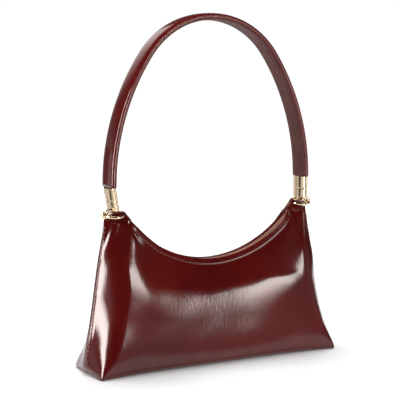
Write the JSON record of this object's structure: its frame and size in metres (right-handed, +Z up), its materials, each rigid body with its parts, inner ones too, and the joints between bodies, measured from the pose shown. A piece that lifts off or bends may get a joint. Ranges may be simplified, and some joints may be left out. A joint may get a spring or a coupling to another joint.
{
  "type": "handbag",
  "caption": "Small glossy leather shoulder bag with a concave zipped top and a stiff arched handle on metal ferrules and rings.",
  "frame": {"origin": "middle of the base, on the surface the bag stands on", "axes": "+X along the bag to its right as seen from the front, front faces -Y, +Z up"},
  "size_m": [0.283, 0.0658, 0.3537],
  "materials": {
    "panel_leather": "polished oxblood leather",
    "strap_leather": "polished oxblood leather",
    "matte_leather": "matte oxblood leather",
    "lining": "woven cotton lining",
    "zip_tape": "woven zip tape",
    "thread": "waxed thread",
    "gold_metal": "polished champagne gold plate",
    "board": "grey stiffening board",
    "filler": "dense felt filler"
  },
  "bodies": {
    "bag": {"front_panel": "panel_leather", "back_panel": "panel_leather", "base_board": "board", "front_lining": "lining", "back_lining": "lining", "zip_tape_front": "zip_tape", "zip_tape_back": "zip_tape", "zip_teeth_front": "gold_metal", "zip_teeth_back": "gold_metal", "zip_end_stops": "gold_metal", "ring_tab_left": "matte_leather", "ring_tab_right": "matte_leather", "rim_stitching_front": "thread", "rim_stitching_back": "thread", "side_stitching_left": "thread", "side_stitching_right": "thread"},
    "slider": {"zip_slider": "gold_metal"},
    "pull": {"zip_pull": "gold_metal"},
    "handle": {"strap_outer": "strap_leather", "strap_inner": "matte_leather", "strap_filler": "filler", "ferrule_upper_left": "gold_metal", "ferrule_upper_right": "gold_metal", "ferrule_lower_left": "gold_metal", "ferrule_lower_right": "gold_metal"},
    "ring_left": {"ring_left": "gold_metal"},
    "ring_right": {"ring_right": "gold_metal"}
  },
  "joints": [
    {"name": "handle_swing", "type": "hinge", "parent": "bag", "child": "handle", "pos_m": [0, 0, 0.1566], "axis": [1, 0, 0], "range_deg": [-28, 28]},
    {"name": "ring_left_tilt", "type": "hinge", "parent": "handle", "child": "ring_left", "pos_m": [-0.10705, 0, 0.1566], "axis": [1, 0, 0], "range_deg": [-24, 0]},
    {"name": "ring_right_tilt", "type": "hinge", "parent": "handle", "child": "ring_right", "pos_m": [0.1108, 0, 0.1566], "axis": [1, 0, 0], "range_deg": [-24, 0]},
    {"name": "zip_travel", "type": "hinge", "parent": "bag", "child": "slider", "pos_m": [0, 0, 0.23102], "axis": [0, -1, 0], "range_deg": [0, 77]},
    {"name": "pull_flip", "type": "hinge", "parent": "slider", "child": "pull", "pos_m": [-0.07808, 0, 0.13338], "axis": [0, -1, 0], "range_deg": [0, 150]}
  ]
}
